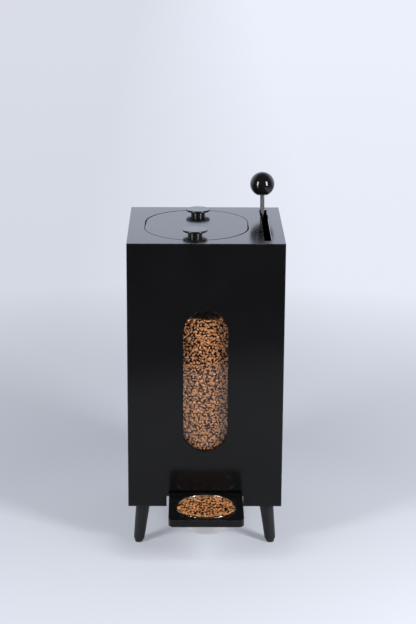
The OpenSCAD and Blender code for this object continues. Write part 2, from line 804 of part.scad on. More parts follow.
// Spun bowl: flat base, rounded corner, tapered wall and a flat rim resting on the tray
module bowl() {
    foot_r = bowl_foot_d / 2;
    rim_z = bowl_h - rim_h;
    taper = atan((bowl_top_r - foot_r) / rim_z);
    corner_x = foot_r - bowl_corner_r / tan(45 + taper / 2);
    roll = rim_h / 2;
    inner_r = bowl_top_r - bowl_wall / cos(taper);
    arc_steps = 10;
    color(steel) translate([bowl_x, bowl_y, bowl_z0]) rotate_extrude() polygon(concat(
        [[0, 0]],
        arc(corner_x, bowl_corner_r, bowl_corner_r, -90, -taper, arc_steps),
        [[bowl_top_r, rim_z]],
        arc(bowl_d / 2 - roll, rim_z + roll, roll, -90, 90, arc_steps),
        arc(inner_r + roll, rim_z + roll, roll, 90, 180, arc_steps),
        [[inner_r, rim_z]],
        arc(corner_x, bowl_corner_r, bowl_corner_r - bowl_wall, -taper, -90, arc_steps),
        [[0, bowl_wall]]
    ));
}

// Lid's own frame: its centre on the underside, turned as it was put down
module lid_frame() {
    translate([lid_x, mid_y, lid_under_z]) rotate([0, 0, -lid_turn]) children();
}

module lid_board() {
    color(lacquer) lid_frame() difference() {
        union() {
            stadium(lid_w, lid_w, open_straight, lid_t - lid_bevel);
            translate([0, 0, lid_t - lid_bevel]) stadium(lid_w, lid_w - 2 * lid_bevel, open_straight, lid_bevel);
        }
        for (end = [-1, 1]) translate([0, end * knob_reach, -over])
            cylinder(d = knob_screw_d + 2 * hole_gap, h = lid_t + 2 * over);
    }
}

// Low knob: a round stem under a wider cap with rounded edges
module lid_knob(end) {
    cap_r = knob_cap_d / 2 - knob_edge_r;
    knob_h = knob_stem_h + knob_cap_h;
    arc_steps = 6;
    color(moulded) lid_frame() translate([0, end * knob_reach, lid_t]) difference() {
        rotate_extrude() polygon(concat(
            [[0, 0], [knob_stem_d / 2, 0], [knob_stem_d / 2, knob_stem_h]],
            arc(cap_r, knob_stem_h + knob_edge_r, knob_edge_r, -90, 0, arc_steps),
            arc(cap_r, knob_h - knob_edge_r, knob_edge_r, 0, 90, arc_steps),
            [[0, knob_h]]
        ));
        translate([0, 0, -over]) cylinder(d = knob_screw_d + 2 * hole_gap, h = knob_screw_bite + slide_gap + over);
    }
}

module knob_screws() {
    color(steel) lid_frame() for (end = [-1, 1])
        translate([0, end * knob_reach, 0]) mirror([0, 0, 1]) pan_screw(knob_screw_d, lid_t + knob_screw_bite);
}

front_panel();
back_panel();
left_panel();
right_panel();
top_panel();
base_board(-1);  // base_board_left
base_board(1);  // base_board_right
leg(leg_sides[0]);  // leg_front_left
leg(leg_sides[1]);  // leg_front_right
leg(leg_sides[2]);  // leg_rear_left
leg(leg_sides[3]);  // leg_rear_right
leg_bolts();
foot_pads();
window_pane();
pane_screws();
lid_ledge();
lid_gasket();
lever_divider();
outlet_shelf();
shelf_cleat(-1);  // shelf_cleat_left
shelf_cleat(1);  // shelf_cleat_right
funnel_side(-1, slope_left, valley_left_x);  // funnel_left
funnel_side(1, slope_right, valley_right_x);  // funnel_right
funnel_end(-1, slope_front, throat_y0, valley_front_y);  // funnel_front
funnel_end(1, slope_back, throat_y1, valley_back_y);  // funnel_back
gate_guide(-1, gate_y1 + gate_open);  // gate_guide_left
gate_guide(1, pin_y - gate_arm_half - gate_close - hatch_gap);  // gate_guide_right
tray_rail(-1);  // tray_rail_left
tray_rail(1);  // tray_rail_right
rail_screws();
tray_stop();
pivot_shaft();
shaft_spacers();
lever_hub();
lever_rod();
ball_knob();
drive_arm();
drive_pin();
gate_plate();
gate_yoke();
tray_board();
bowl();
lid_board();
lid_knob(-1);  // knob_front
lid_knob(1);  // knob_rear
knob_screws();
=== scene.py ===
"""Looks of the lever pet food cabinet: its finishes, the dry food it holds, and the studio."""
import math

import bpy
import numpy as np
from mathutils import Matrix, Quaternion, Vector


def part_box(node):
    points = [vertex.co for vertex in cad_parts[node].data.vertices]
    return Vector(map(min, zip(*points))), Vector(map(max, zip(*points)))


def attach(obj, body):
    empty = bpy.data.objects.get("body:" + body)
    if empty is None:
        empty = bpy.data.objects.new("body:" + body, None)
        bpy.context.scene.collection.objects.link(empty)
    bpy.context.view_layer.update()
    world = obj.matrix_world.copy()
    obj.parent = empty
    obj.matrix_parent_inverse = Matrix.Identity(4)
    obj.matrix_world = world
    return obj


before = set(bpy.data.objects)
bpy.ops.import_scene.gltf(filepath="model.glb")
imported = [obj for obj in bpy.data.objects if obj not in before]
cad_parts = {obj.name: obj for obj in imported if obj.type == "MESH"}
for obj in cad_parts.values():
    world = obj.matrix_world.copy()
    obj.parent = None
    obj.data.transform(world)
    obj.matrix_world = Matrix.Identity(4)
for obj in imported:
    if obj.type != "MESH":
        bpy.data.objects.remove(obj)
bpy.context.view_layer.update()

bl_info = {
    "name": "Lever pet food cabinet",
    "version": (1, 0, 0),
    "blender": (4, 5, 0),
    "location": "3D View > Sidebar > Feeder",
    "description": "Dresses the packed cabinet, fills it with dry food and sets it in a studio",
    "category": "Object",
}

MM = 0.001

LACQUERED = ("front_panel", "back_panel", "left_panel", "right_panel", "top_panel")
INNER_BOARDS = (
    "base_board_left", "base_board_right", "lid_ledge", "lever_divider", "outlet_shelf",
    "shelf_cleat_left", "shelf_cleat_right", "funnel_left", "funnel_right", "funnel_front",
    "funnel_back", "gate_guide_left", "gate_guide_right", "tray_rail_left", "tray_rail_right",
    "tray_stop",
)
LEGS = ("leg_front_left", "leg_front_right", "leg_rear_left", "leg_rear_right")
FIXINGS = (
    "leg_bolts", "pane_screws", "rail_screws", "knob_screws", "pivot_shaft", "shaft_spacers",
    "lever_hub", "drive_arm", "drive_pin",
)

# Fixed colours, linear
WORN_LACQUER = (0.05, 0.05, 0.054, 1)
DUST = (0.4, 0.4, 0.41, 1)
PANE_TINT = (0.97, 0.98, 0.98, 1)
PANE_SHADE = (0.93, 0.94, 0.94, 1)
# Painted shade in the gaps between pellets
PAINTED_GAP_SHADE = (0.006, 0.003, 0.0015, 1)
PAPER_FIBRE = (0.6, 0.62, 0.67, 1)
DIFFUSE_SHARE = (0.6, 0.6, 0.6, 1)

# Directions
UP = np.array([0.0, 0.0, 1.0])
FRONT = np.array([0.0, -1.0, 0.0])

# Pellets: tilts of the rings, points in a ring, power that rounds the rings, and the span of a
# draw that gives each kind
PELLET_TILTS = np.radians([-50, -17, 17, 50])
PELLET_SIDES = 9
PELLET_ROUNDING = 0.6
BARS, CUPS, WEDGES = (0.0, 0.36), (0.36, 0.46), (0.62, 1.0)

# Painted light: colour of the food in the cabinet's shade, as a multiple of the colour at the pane
PAINTED_LIGHT_GAIN = 1.75

# Food at the pane: half width and foot of what is filled, and for each layer the nearest and
# farthest place behind the pane in millimetres, the lean in radians, the mean tone, and the share
# of that place that counts as depth. The back layer's low tone and that depth are painted shade
WINDOW_HALF, WINDOW_FOOT = 0.061, 0.247
PANE_GAP = 0.3
WINDOW_LAYERS = ((PANE_GAP, 2.4, 0.6, 0.65, 0.35), (4.5, 5.5, 0.8, 0.25, 1.0))

# Food in the bowl: width of the lip, profile of the bed's underside as radius and height over the
# bowl's foot, way that the food rises, and distances from the rim
BOWL_LIP = 7.5 * MM
BED_FOOT = ((0.055, 0.02), (0.046, 0.006), (0.0, 0.003))
TILT_WAY = np.array([0.42, -0.91])
RIM_GAP = 0.2 * MM
RIM_PROUD = 2.5 * MM
HEAP_LIMIT = 6.5 * MM

# Studio: middle of the cabinet, places of the softboxes, rings of the floor, and the viewpoint
# that was solved from the photograph
MIDDLE = (0.0, 0.08, 0.0)
SOFTBOX_AWAY, SOFTBOX_HEIGHT = 2.0, 1.25
SOFTBOX_TURN, SOFTBOX_TIP = math.radians(47), math.radians(72)
FLOOR_FIRST, FLOOR_LAST, FLOOR_RINGS, FLOOR_SIDES = 0.2, 30.0, 24, 96
CAMERA_PLACE = (-0.04227, -4.07069, 1.79247)
CAMERA_TURN = math.radians(-0.6833)
CAMERA_TIP = math.radians(73.2801)
CAMERA_ROLL = math.radians(0.3303)


# Sizes and colours that a user would change

def length(name, description, default):
    """A length in metres."""
    return bpy.props.FloatProperty(
        name=name, description=description, default=default, subtype="DISTANCE", unit="LENGTH",
        precision=4,
    )


def share(name, description, default):
    """A share between none and all."""
    return bpy.props.FloatProperty(
        name=name, description=description, default=default, min=0, max=1, subtype="FACTOR"
    )


def colour(name, description, default):
    """An opaque colour, linear."""
    return bpy.props.FloatVectorProperty(
        name=name, description=description, default=(*default, 1), size=4, min=0, max=1,
        subtype="COLOR",
    )


class FinishSettings(bpy.types.PropertyGroup):
    """Finishes of the cabinet and its fittings"""

    lacquer: colour("Lacquer", "Satin black of the panels, lid and tray", (0.0049, 0.0049, 0.0053))
    lacquer_gloss: share("Lacquer roughness", "Roughness of the clean lacquer", 0.13)
    peel: length("Orange peel", "Size of the ripples in the sprayed lacquer", 0.0016)
    rub: length("Edge rub", "Width of the rubbed band along the panels' edges", 0.0035)
    board: colour("Inner board", "Dark stain of the boards inside", (0.05, 0.038, 0.03))
    board_pale: colour("Board grain", "Pale lines of the stained grain", (0.105, 0.079, 0.06))
    leg: colour("Leg paint", "Satin paint on the turned legs", (0.0095, 0.0095, 0.0105))
    moulded: colour("Moulded black", "Black of the ball and the lid knobs", (0.006, 0.006, 0.0065))
    rod: colour("Rod steel", "Satin steel of the lever rod", (0.088, 0.09, 0.095))
    steel: colour("Bowl steel", "Spun stainless steel of the bowl", (0.85, 0.835, 0.79))
    sheet: colour("Gate steel", "Brushed sheet of the gate and its yoke", (0.5, 0.5, 0.51))
    zinc: colour("Fixing steel", "Zinc plate on screws, bolts and pivot", (0.46, 0.47, 0.48))
    rubber: colour("Rubber", "Grey rubber of the seal and the foot pads", (0.028, 0.028, 0.03))


class FoodSettings(bpy.types.PropertyGroup):
    """The dry food in the hopper and the bowl"""

    bar: length("Pellet length", "Mean length of a bar-shaped pellet", 0.0105)
    spacing: length("Spacing", "Mean distance between neighbouring pellets", 0.0073)
    bowl_spacing: length("Bowl spacing", "Mean distance between the pellets in the bowl", 0.0079)
    level: length("Hopper level", "Height of the food at the hopper's walls", 0.576)
    dip: length("Hopper dip", "Depth of the hollow over the outlet", 0.015)
    bowl_level: length("Bowl level", "Mean height of the food at the bowl's wall", 0.136)
    bowl_heap: length("Bowl heap", "Rise of the food towards the bowl's middle", 0.002)
    bowl_tilt: length("Bowl tilt", "Rise of the food towards the bowl's front right", 0.0038)
    pale: colour("Pale pellets", "Colour of the palest pellets", (0.442, 0.192, 0.073))
    dark: colour("Dark pellets", "Colour of the darkest pellets", (0.205, 0.071, 0.0235))
    seed: bpy.props.IntProperty(name="Seed", description="Start of the random scatter", default=7)


class StudioSettings(bpy.types.PropertyGroup):
    """Floor, lights and camera"""

    floor: colour("Floor", "Pale paper under the cabinet", (0.74, 0.765, 0.83))
    glow: colour("Floor glow", "Light of the paper round the cabinet", (0.71, 0.74, 0.825))
    far_glow: colour("Far glow", "Light of the paper far from the cabinet", (0.745, 0.775, 0.865))
    backdrop: colour("Backdrop", "Lit wall behind the cabinet", (0.78, 0.84, 1.0))
    backdrop_light: bpy.props.FloatProperty(
        name="Backdrop light", description="Strength of the lit wall", default=1.5)
    room: colour("Room", "Dark room on the camera's side", (0.07, 0.072, 0.078))
    power_left: bpy.props.FloatProperty(
        name="Left softbox", description="Power in watts", default=31, unit="POWER")
    power_right: bpy.props.FloatProperty(
        name="Right softbox", description="Power in watts", default=43, unit="POWER")
    softbox_w: length("Softbox width", "Width of each softbox", 0.5)
    softbox_h: length("Softbox height", "Height of each softbox", 1.3)
    lens: bpy.props.FloatProperty(
        name="Lens", description="Focal length", default=100.457, unit="CAMERA")


# Node helpers

def put(tree, kind, inputs=None, **settings):
    """Adds a node, sets it, and feeds its inputs with values or from other sockets."""
    node = tree.nodes.new(kind)
    for key, value in settings.items():
        setattr(node, key, value)
    for key, value in (inputs or {}).items():
        if isinstance(value, bpy.types.NodeSocket):
            tree.links.new(value, node.inputs[key])
        else:
            node.inputs[key].default_value = value
    return node


def calc(tree, operation, *values):
    """Result of a Math node."""
    return put(tree, "ShaderNodeMath", dict(enumerate(values)), operation=operation).outputs[0]


def vector(tree, operation, *values):
    """Result of a Vector Math node, a value for a length or a dot product."""
    made = put(tree, "ShaderNodeVectorMath", dict(enumerate(values)), operation=operation)
    return made.outputs["Value" if operation in ("LENGTH", "DOT_PRODUCT") else "Vector"]


def ramp(tree, value, low, high, to_low=0.0, to_high=1.0, kind="LINEAR"):
    """Carries a value from one span to another and stops at the ends."""
    return put(tree, "ShaderNodeMapRange", {
        "Value": value, "From Min": low, "From Max": high, "To Min": to_low, "To Max": to_high,
    }, interpolation_type=kind).outputs["Result"]


def tint(tree, factor, first, second):
    """Mix of two colours."""
    made = put(tree, "ShaderNodeMix", {0: factor, 6: first, 7: second}, data_type="RGBA")
    return made.outputs[2]


def scaled(shown, gain):
    """A colour times a gain, opaque."""
    return [*(c * gain for c in shown[:3]), 1]


def parts(tree, value):
    """X, Y and Z of a vector."""
    return put(tree, "ShaderNodeSeparateXYZ", {0: value}).outputs


def noise(tree, where, scale, detail=2.0, distortion=0.0):
    """Noise value at a place."""
    return put(tree, "ShaderNodeTexNoise", {
        "Vector": where, "Scale": scale, "Detail": detail, "Distortion": distortion,
    }).outputs[0]


def group(name, inputs, outputs):
    """A new shader group with named sockets; returns it with its input and output nodes."""
    made = bpy.data.node_groups.new(name, "ShaderNodeTree")
    for label, kind in inputs.items():
        made.interface.new_socket(label, in_out="INPUT", socket_type="NodeSocket" + kind)
    for label, kind in outputs.items():
        made.interface.new_socket(label, in_out="OUTPUT", socket_type="NodeSocket" + kind)
    return made, made.nodes.new("NodeGroupInput").outputs, made.nodes.new("NodeGroupOutput").inputs


def use(tree, name, **values):
    """Places a shader group in a material and returns its outputs."""
    inputs = {key.replace("_", " ").title(): value for key, value in values.items()}
    return put(tree, "ShaderNodeGroup", inputs, node_tree=bpy.data.node_groups[name]).outputs


# Effects that several finishes share

def make_film():
    """Sprayed film: fine ripples as a height, and wide soft clouds of wiped haze as a mask."""
    tree, ins, outs = group("Film", {"Place": "Vector", "Ripple": "Float"},
                            {"Height": "Float", "Cloud": "Float"})
    scale = calc(tree, "DIVIDE", 1.0, ins["Ripple"])
    tree.links.new(noise(tree, ins["Place"], scale, detail=1.0), outs["Height"])
    wide = noise(tree, ins["Place"], scale=7.0, detail=4.0, distortion=0.6)
    tree.links.new(ramp(tree, wide, 0.38, 0.7), outs["Cloud"])


def make_edge_rub():
    """Rub along a box's edges: high where two of the three distances to its faces are small."""
    tree, ins, outs = group(
        "Edge Rub",
        {"Place": "Vector", "Centre": "Vector", "Half": "Vector", "Width": "Float"},
        {"Mask": "Float"})
    off = vector(tree, "ABSOLUTE", vector(tree, "SUBTRACT", ins["Place"], ins["Centre"]))
    gap = parts(tree, vector(tree, "SUBTRACT", ins["Half"], off))
    low, high = calc(tree, "MINIMUM", gap[0], gap[1]), calc(tree, "MAXIMUM", gap[0], gap[1])
    second = calc(tree, "MAXIMUM", low, calc(tree, "MINIMUM", high, gap[2]))
    near = calc(tree, "SUBTRACT", 1.0, calc(tree, "DIVIDE", second, ins["Width"]))
    patchy = ramp(tree, noise(tree, ins["Place"], scale=60.0, detail=3.0), 0.4, 0.65)
    tree.links.new(
        calc(tree, "MULTIPLY", calc(tree, "MAXIMUM", near, 0.0), patchy), outs["Mask"])


def make_dust():
    """Dust on faces that look up: specks and a thin veil, scaled by the face's upward part."""
    tree, ins, outs = group("Dust", {"Place": "Vector", "Facing": "Vector"}, {"Mask": "Float"})
    up = ramp(tree, parts(tree, ins["Facing"])[2], 0.6, 1.0)
    cell = put(tree, "ShaderNodeTexVoronoi", {"Vector": ins["Place"], "Scale": 260.0}).outputs
    speck = ramp(tree, cell["Distance"], 0.1, 0.05)
    chosen = ramp(tree, parts(tree, cell["Color"])[0], 0.86, 0.9)
    veil = ramp(tree, noise(tree, ins["Place"], scale=30.0, detail=5.0), 0.45, 0.8, 0.0, 0.12)
    seen = calc(tree, "MAXIMUM", calc(tree, "MULTIPLY", speck, chosen), veil)
    tree.links.new(calc(tree, "MULTIPLY", seen, up), outs["Mask"])


def make_grain():
    """Board grain: bands and fibres of noise, drawn out one way by a stretched place."""
    tree, ins, outs = group("Grain", {"Place": "Vector", "Stretch": "Vector"},
                            {"Band": "Float", "Fibre": "Float"})
    drawn = vector(tree, "MULTIPLY", ins["Place"], ins["Stretch"])
    wave = put(tree, "ShaderNodeTexWave", {
        "Vector": drawn, "Scale": 9.0, "Distortion": 7.0, "Detail": 3.0, "Detail Scale": 1.4,
    }, bands_direction="DIAGONAL").outputs[1]
    tree.links.new(ramp(tree, wave, 0.25, 0.95), outs["Band"])
    fibre = noise(tree, drawn, scale=240.0, detail=3.0)
    tree.links.new(ramp(tree, fibre, 0.35, 0.7), outs["Fibre"])


def make_turning():
    """Tool lines round an axis: a wave of the distance from it, broken up by noise."""
    tree, ins, outs = group(
        "Turning", {"Place": "Vector", "Centre": "Vector", "Pitch": "Float"}, {"Line": "Float"})
    off = vector(tree, "SUBTRACT", ins["Place"], ins["Centre"])
    flat = vector(tree, "MULTIPLY", off, (1.0, 1.0, 0.0))
    away = calc(tree, "ADD", vector(tree, "LENGTH", flat),
                calc(tree, "MULTIPLY", noise(tree, ins["Place"], scale=55.0), 0.0009))
    wave = calc(tree, "SINE", calc(tree, "DIVIDE", away, ins["Pitch"]))
    tree.links.new(ramp(tree, wave, -1.0, 1.0), outs["Line"])


def make_brushing():
    """Brushed metal: noise squeezed across the strokes, with a slower mottle."""
    tree, ins, outs = group("Brushing", {"Place": "Vector", "Stretch": "Vector"},
                            {"Stroke": "Float", "Mottle": "Float"})
    drawn = vector(tree, "MULTIPLY", ins["Place"], ins["Stretch"])
    tree.links.new(noise(tree, drawn, scale=300.0, detail=3.0), outs["Stroke"])
    mottle = noise(tree, ins["Place"], scale=45.0, detail=4.0)
    tree.links.new(ramp(tree, mottle, 0.35, 0.7), outs["Mottle"])


# Finishes

def finish(name, **values):
    """A material on one Principled shader, with its tree, the shader's inputs and the place."""
    made = bpy.data.materials.new(name)
    made.use_nodes = True
    tree = made.node_tree
    shader = tree.nodes["Principled BSDF"]
    for key, value in values.items():
        shader.inputs[key.replace("_", " ")].default_value = value
    return made, tree, shader.inputs, put(tree, "ShaderNodeTexCoord").outputs["Object"]


def feed(tree, inputs, base=None, roughness=None, height=None, strength=0.1, distance=0.0002):
    """Feeds a shader's colour and roughness, and its normal from a height."""
    if base:
        tree.links.new(base, inputs["Base Color"])
    if roughness:
        tree.links.new(roughness, inputs["Roughness"])
    if height:
        bump = put(tree, "ShaderNodeBump", {
            "Height": height, "Strength": strength, "Distance": distance})
        tree.links.new(bump.outputs[0], inputs["Normal"])


def box_of(nodes):
    """Centre and half size of the box round some nodes."""
    corners = np.array([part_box(n) for n in nodes])
    low, high = corners[:, 0].min(0), corners[:, 1].max(0)
    return (low + high) / 2, (high - low) / 2


def make_lacquer(name, nodes, looks):
    """Satin black lacquer: ripples, hazy clouds, rubbed edges and a little dust on top faces."""
    made, tree, shader, place = finish(name, IOR=1.37)
    film = use(tree, "Film", place=place, ripple=looks.peel)
    centre, half = box_of(nodes)
    rub = use(tree, "Edge Rub", place=place, centre=centre, half=half, width=looks.rub)[0]
    facing = put(tree, "ShaderNodeNewGeometry").outputs["Normal"]
    dust = use(tree, "Dust", place=place, facing=facing)[0]
    black = tint(tree, film["Cloud"], looks.lacquer, scaled(looks.lacquer, 1.25))
    worn = tint(tree, calc(tree, "MULTIPLY", rub, 0.5), black, WORN_LACQUER)
    base = tint(tree, calc(tree, "MULTIPLY", dust, 0.1), worn, DUST)
    haze = ramp(tree, film["Cloud"], 0, 1, looks.lacquer_gloss, looks.lacquer_gloss + 0.03)
    rough = calc(tree, "ADD", haze, calc(tree, "MULTIPLY", calc(tree, "ADD", rub, dust), 0.15))
    feed(tree, shader, base, rough, film["Height"], strength=0.06, distance=0.0001)
    return made


def make_board(name, stretch, looks):
    """Dark stained board: bands and fibres of grain in colour, roughness and height."""
    made, tree, shader, place = finish(name, IOR=1.4)
    grain = use(tree, "Grain", place=place, stretch=stretch)
    mixed = calc(tree, "MULTIPLY_ADD", grain["Band"], 0.55,
                 calc(tree, "MULTIPLY", grain["Fibre"], 0.4))
    feed(tree, shader, tint(tree, mixed, looks.board, looks.board_pale),
         ramp(tree, grain["Fibre"], 0, 1, 0.5, 0.68), grain["Fibre"],
         strength=0.25, distance=0.0003)
    return made


def make_leg_paint(looks):
    """Satin paint over turned wood: faint upright grain under a sprayed film."""
    made, tree, shader, place = finish("leg_satin_paint", IOR=1.45)
    film = use(tree, "Film", place=place, ripple=0.0014)
    grain = use(tree, "Grain", place=place, stretch=(1.0, 1.0, 0.06))
    base = tint(tree, calc(tree, "MULTIPLY", grain["Fibre"], 0.5), looks.leg,
                scaled(looks.leg, 2.2))
    rough = calc(tree, "MULTIPLY_ADD", film["Cloud"], 0.1, 0.32)
    height = calc(tree, "MULTIPLY_ADD", grain["Fibre"], 0.6, film["Height"])
    feed(tree, shader, base, rough, height, strength=0.12, distance=0.0002)
    return made


def make_moulded(name, centre, looks, roughness, top):
    """Polished black moulding: faint tool lines round its axis and fine scuffs, with a roughness
    for its sides and one for its top."""
    made, tree, shader, place = finish(name, IOR=1.5)
    line = use(tree, "Turning", place=place, centre=centre, pitch=0.00025)[0]
    stroke = use(tree, "Brushing", place=place, stretch=(1.0, 0.5, 2.5))
    scuff = ramp(tree, stroke["Stroke"], 0.6, 0.75)
    facing = parts(tree, put(tree, "ShaderNodeNewGeometry").outputs["Normal"])[2]
    clean = ramp(tree, facing, 0.9, 1.0, roughness, top)
    base = tint(tree, scuff, looks.moulded, scaled(looks.moulded, 1.6))
    rough = calc(tree, "MULTIPLY_ADD", scuff, 0.06,
                 calc(tree, "MULTIPLY_ADD", stroke["Mottle"], 0.03, clean))
    feed(tree, shader, base, rough, line, strength=0.015, distance=0.00005)
    return made


def make_metal(name, base_colour, roughness, stretch, turned_at=None, pitch=0.0003, strength=0.05):
    """Bare or plated metal: brushed strokes, or tool lines round an axis, over a slow mottle."""
    made, tree, shader, place = finish(name, Metallic=1.0)
    brush = use(tree, "Brushing", place=place, stretch=stretch)
    line = brush["Stroke"]
    if turned_at is not None:
        line = use(tree, "Turning", place=place, centre=turned_at, pitch=pitch)[0]
    base = tint(tree, calc(tree, "MULTIPLY", brush["Mottle"], 0.35), base_colour,
                scaled(base_colour, 0.78))
    rough = calc(tree, "MULTIPLY_ADD", line, 0.08,
                 calc(tree, "MULTIPLY_ADD", brush["Mottle"], 0.06, roughness))
    feed(tree, shader, base, rough, line, strength, distance=0.0001)
    return made


def make_rubber(looks):
    """Matt rubber: fine pitted skin with pale scuffs."""
    made, tree, shader, place = finish("grey_rubber", IOR=1.5)
    skin = noise(tree, place, scale=900.0, detail=3.0)
    scuff = ramp(tree, noise(tree, place, scale=70.0, detail=4.0), 0.5, 0.8, 0.0, 0.5)
    base = tint(tree, scuff, looks.rubber, scaled(looks.rubber, 2.6))
    feed(tree, shader, base, ramp(tree, skin, 0.2, 0.8, 0.62, 0.82), skin,
         strength=0.3, distance=0.0003)
    return made


def make_pane():
    """Clear acrylic: smooth glass to the eye with faint wiped haze, and open to the light that
    falls on what lies behind."""
    made, tree, shader, place = finish(
        "clear_acrylic", IOR=1.49, Transmission_Weight=1.0, Base_Color=PANE_TINT)
    film = use(tree, "Film", place=place, ripple=0.004)
    feed(tree, shader, None, ramp(tree, film["Cloud"], 0, 1, 0.01, 0.035))
    output = tree.nodes["Material Output"].inputs["Surface"]
    shade = put(tree, "ShaderNodeMixShader", {
        0: put(tree, "ShaderNodeLightPath").outputs["Is Shadow Ray"],
        1: tree.nodes["Principled BSDF"].outputs[0],
        2: put(tree, "ShaderNodeBsdfTransparent", {0: PANE_SHADE}).outputs[0],
    })
    tree.links.new(shade.outputs[0], output)
    return made


def make_food(name, food, shade=1.0, gain=1.0):
    """Baked kibble: a tone for each pellet, toasted patches and a crumbly skin. Painted shade
    darkens it to the gaps between pellets over depths from 0.03 to 0.4 of a pellet's length and
    takes its sheen away there. Shade scales that painted light down; gain scales both colours up
    as painted light."""
    made, tree, shader, place = finish(name, IOR=1.35)
    tone = put(tree, "ShaderNodeAttribute", attribute_name="tone").outputs["Fac"]
    patch = ramp(tree, noise(tree, place, scale=330.0, detail=3.0), 0.35, 0.7)
    mixed = calc(tree, "MULTIPLY_ADD", patch, 0.3, calc(tree, "MULTIPLY", tone, 0.7))
    crumb = noise(tree, place, scale=1400.0, detail=2.0)
    depth = put(tree, "ShaderNodeAttribute", attribute_name="depth").outputs["Fac"]
    # Painted shade: the pellet's colour and sheen fall towards the gap colour with depth
    light = ramp(tree, depth, food.bar * 0.4, food.bar * 0.03, 0.0, shade, "SMOOTHSTEP")
    skin = tint(tree, mixed, scaled(food.dark, gain), scaled(food.pale, gain))
    feed(tree, shader, tint(tree, light, PAINTED_GAP_SHADE, skin),
         ramp(tree, crumb, 0.3, 0.7, 0.5, 0.75), crumb, strength=0.35, distance=0.0004)
    tree.links.new(calc(tree, "MULTIPLY", light, 0.5), shader["Specular IOR Level"])
    return made


def dress(nodes, material):
    """Puts a material in every slot of some CAD nodes."""
    for name in nodes:
        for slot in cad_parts[name].material_slots:
            slot.material = material


# Surfaces

def new_mesh(name, points, faces, material, **values):
    """A smooth mesh object from arrays of points and faces, with named values for each point."""
    mesh = bpy.data.meshes.new(name)
    mesh.from_pydata(points.tolist(), [], faces)
    mesh.polygons.foreach_set("use_smooth", np.ones(len(mesh.polygons), bool))
    for key, value in values.items():
        attribute = mesh.attributes.new(key, "FLOAT", "POINT")
        attribute.data.foreach_set("value", value.astype(np.float32))
    mesh.materials.append(material)
    mesh.update()
    made = bpy.data.objects.new(name, mesh)
    bpy.context.scene.collection.objects.link(made)
    return made


def grid_faces(rows, columns, wrap=False):
    """Quads of a grid of points in row order; wrap joins the last column to the first."""
    across = columns if wrap else columns - 1
    row, column = np.meshgrid(np.arange(rows - 1), np.arange(across), indexing="ij")
    after = (column + 1) % columns
    corners = (row * columns + column, row * columns + after,
               (row + 1) * columns + after, (row + 1) * columns + column)
    return np.stack(corners, -1).reshape(-1, 4)


def bed_between(top, bottom, name, material):
    """A closed body between an upper and a lower grid of one size, with walls round the rim."""
    rows, columns = top.shape[:2]
    index = np.arange(rows * columns).reshape(rows, columns)
    rim = np.concatenate([index[:-1, 0], index[-1, :-1], index[:0:-1, -1], index[0, :0:-1]])
    under = rows * columns
    after = np.roll(rim, -1)
    walls = np.stack([rim + under, after + under, after, rim], -1).tolist()
    lid = grid_faces(rows, columns)
    faces = lid[:, ::-1].tolist() + (lid + under).tolist() + walls
    points = np.concatenate([top.reshape(-1, 3), bottom.reshape(-1, 3)])
    return new_mesh(name, points, faces, material, tone=np.full(len(points), 0.3))


def revolved(profile, sides, centre, name, material):
    """A closed profile of radius and height carried round an upright axis; its first and last
    points are on the axis."""
    turn = np.linspace(0, 2 * math.pi, sides, endpoint=False)
    radius, height = np.array(profile[1:-1]).T
    ring = np.stack([np.outer(radius, np.cos(turn)) + centre[0],
                     np.outer(radius, np.sin(turn)) + centre[1],
                     np.repeat(height[:, None], sides, 1)], -1).reshape(-1, 3)
    poles = np.array([[*centre, profile[0][1]], [*centre, profile[-1][1]]])
    count, side = len(radius), np.arange(sides)
    after = (side + 1) % sides
    last = (count - 1) * sides
    top, end = count * sides, count * sides + 1
    caps = np.stack([np.full(sides, top), side, after], -1).tolist()
    caps += np.stack([np.full(sides, end), last + after, last + side], -1).tolist()
    body = grid_faces(count, sides, wrap=True)[:, ::-1].tolist()
    points = np.concatenate([ring, poles])
    return new_mesh(name, points, body + caps, material, tone=np.full(len(points), 0.3))


def scattered(low, high, spacing, rng):
    """Points in jittered hexagonal rows over a rectangle."""
    along = np.arange(low[0], high[0], spacing)
    across = np.arange(low[1], high[1], spacing * math.sqrt(0.75))
    u, v = np.meshgrid(along, across, indexing="ij")
    u = u + (np.arange(len(across)) % 2) * spacing / 2
    points = np.stack([u, v], -1).reshape(-1, 2)
    return points + rng.uniform(-0.3, 0.3, points.shape) * spacing


